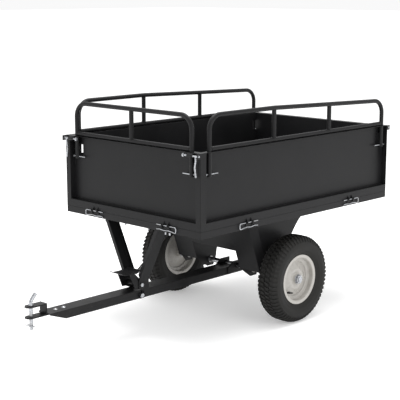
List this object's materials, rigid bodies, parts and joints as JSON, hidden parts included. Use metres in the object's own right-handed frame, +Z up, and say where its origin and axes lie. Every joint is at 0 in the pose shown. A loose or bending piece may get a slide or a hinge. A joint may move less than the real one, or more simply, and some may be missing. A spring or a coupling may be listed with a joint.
{
  "type": "tow behind cart",
  "caption": "Steel tow behind dump cart: folding sides with guard rails on a tilting bed, foot latch, clevis hitch and pneumatic wheels.",
  "frame": {"origin": "centre of the bounding box's footprint, on the ground under the tyres", "axes": "+Z up, +Y from the hitch to the rear gate, +X to the cart's left"},
  "size_m": [0.881, 1.921, 1.0174],
  "materials": {
    "black_paint": "satin powder coat",
    "rim_paint": "gloss off-white enamel",
    "zinc_plate": "bright zinc plate",
    "bearing_steel": "machined",
    "tyre_rubber": "matte",
    "valve_rubber": "matte"
  },
  "bodies": {
    "chassis": {"drawbar": "black_paint", "pivot_ears": "black_paint", "hitch_strap": "black_paint", "upper_jaw": "black_paint", "hitch_bolts": "zinc_plate", "hitch_nuts": "zinc_plate", "striker_bolt": "zinc_plate", "striker_nut": "zinc_plate", "axle": "zinc_plate", "axle_spacers": "zinc_plate", "hub_washers": "zinc_plate", "hub_nuts": "zinc_plate", "hitch_pin": "zinc_plate"},
    "hitch_clip": {"hitch_clip": "zinc_plate"},
    "left_wheel": {"left_tyre": "tyre_rubber", "left_rim": "rim_paint", "left_bearings": "bearing_steel", "left_valve": "valve_rubber"},
    "right_wheel": {"right_tyre": "tyre_rubber", "right_rim": "rim_paint", "right_bearings": "bearing_steel", "right_valve": "valve_rubber"},
    "bed": {"bed_floor": "black_paint", "front_cross_member": "black_paint", "middle_cross_member": "black_paint", "rear_cross_members": "black_paint", "deck_bolts": "zinc_plate", "deck_nuts": "zinc_plate", "hinge_ears": "black_paint", "front_hinge_clips": "zinc_plate", "rear_hinge_clips": "zinc_plate", "left_hinge_clips": "zinc_plate", "right_hinge_clips": "zinc_plate", "left_strut": "black_paint", "right_strut": "black_paint", "pedal_pivot_bolt": "zinc_plate", "pedal_pivot_nut": "zinc_plate", "spring_eye": "black_paint", "return_spring": "zinc_plate", "left_axle_bracket": "black_paint", "right_axle_bracket": "black_paint", "axle_bushes": "bearing_steel"},
    "pedal": {"pedal_lever": "black_paint", "foot_pad": "black_paint"},
    "front_gate": {"front_panel": "black_paint", "front_bolt_guides": "black_paint"},
    "front_rail": {"front_rail": "black_paint", "front_rail_pins": "zinc_plate"},
    "rear_gate": {"rear_panel": "black_paint", "rear_bolt_guides": "black_paint"},
    "left_side": {"left_panel": "black_paint"},
    "left_rail": {"left_rail": "black_paint", "left_rail_pins": "zinc_plate"},
    "right_side": {"right_panel": "black_paint"},
    "right_rail": {"right_rail": "black_paint", "right_rail_pins": "zinc_plate"},
    "front_left_bolt": {"front_left_corner_bolt": "zinc_plate"},
    "front_right_bolt": {"front_right_corner_bolt": "zinc_plate"},
    "rear_left_bolt": {"rear_left_corner_bolt": "zinc_plate"},
    "rear_right_bolt": {"rear_right_corner_bolt": "zinc_plate"}
  },
  "joints": [
    {"name": "bed_tilt", "type": "hinge", "parent": "chassis", "child": "bed", "pos_m": [0, 0.279, 0.203], "axis": [-1, 0, 0], "range_deg": [0, 38]},
    {"name": "left_wheel_spin", "type": "hinge", "parent": "chassis", "child": "left_wheel", "pos_m": [0.383, 0.279, 0.203], "axis": [1, 0, 0], "continuous": true},
    {"name": "right_wheel_spin", "type": "hinge", "parent": "chassis", "child": "right_wheel", "pos_m": [-0.383, 0.279, 0.203], "axis": [1, 0, 0], "continuous": true},
    {"name": "pedal_press", "type": "hinge", "parent": "bed", "child": "pedal", "pos_m": [0, -0.3625, 0.232], "axis": [1, 0, 0], "range_deg": [0, 20], "stiffness_Nm_per_rad": 8, "springref_deg": -20.05},
    {"name": "front_gate_fold", "type": "hinge", "parent": "bed", "child": "front_gate", "pos_m": [0, -0.388, 0.53], "axis": [1, 0, 0], "range_deg": [0, 105]},
    {"name": "rear_gate_fold", "type": "hinge", "parent": "bed", "child": "rear_gate", "pos_m": [0, 0.946, 0.53], "axis": [-1, 0, 0], "range_deg": [0, 170]},
    {"name": "left_side_fold", "type": "hinge", "parent": "bed", "child": "left_side", "pos_m": [0.435, 0.279, 0.53], "axis": [0, 1, 0], "range_deg": [0, 170]},
    {"name": "right_side_fold", "type": "hinge", "parent": "bed", "child": "right_side", "pos_m": [-0.435, 0.279, 0.53], "axis": [0, -1, 0], "range_deg": [0, 170]},
    {"name": "front_rail_lift", "type": "slide", "parent": "front_gate", "child": "front_rail", "axis": [0, 0, 1], "range_m": [0, 0.08]},
    {"name": "left_rail_lift", "type": "slide", "parent": "left_side", "child": "left_rail", "axis": [0, 0, 1], "range_m": [0, 0.08]},
    {"name": "right_rail_lift", "type": "slide", "parent": "right_side", "child": "right_rail", "axis": [0, 0, 1], "range_m": [0, 0.08]},
    {"name": "front_left_bolt_slide", "type": "slide", "parent": "front_gate", "child": "front_left_bolt", "axis": [-1, 0, 0], "range_m": [0, 0.012]},
    {"name": "front_right_bolt_slide", "type": "slide", "parent": "front_gate", "child": "front_right_bolt", "axis": [1, 0, 0], "range_m": [0, 0.012]},
    {"name": "rear_left_bolt_slide", "type": "slide", "parent": "rear_gate", "child": "rear_left_bolt", "axis": [-1, 0, 0], "range_m": [0, 0.012]},
    {"name": "rear_right_bolt_slide", "type": "slide", "parent": "rear_gate", "child": "rear_right_bolt", "axis": [1, 0, 0], "range_m": [0, 0.012]},
    {"name": "hitch_clip_pull", "type": "slide", "parent": "chassis", "child": "hitch_clip", "axis": [1, 0, 0], "range_m": [0, 0.05]}
  ]
}
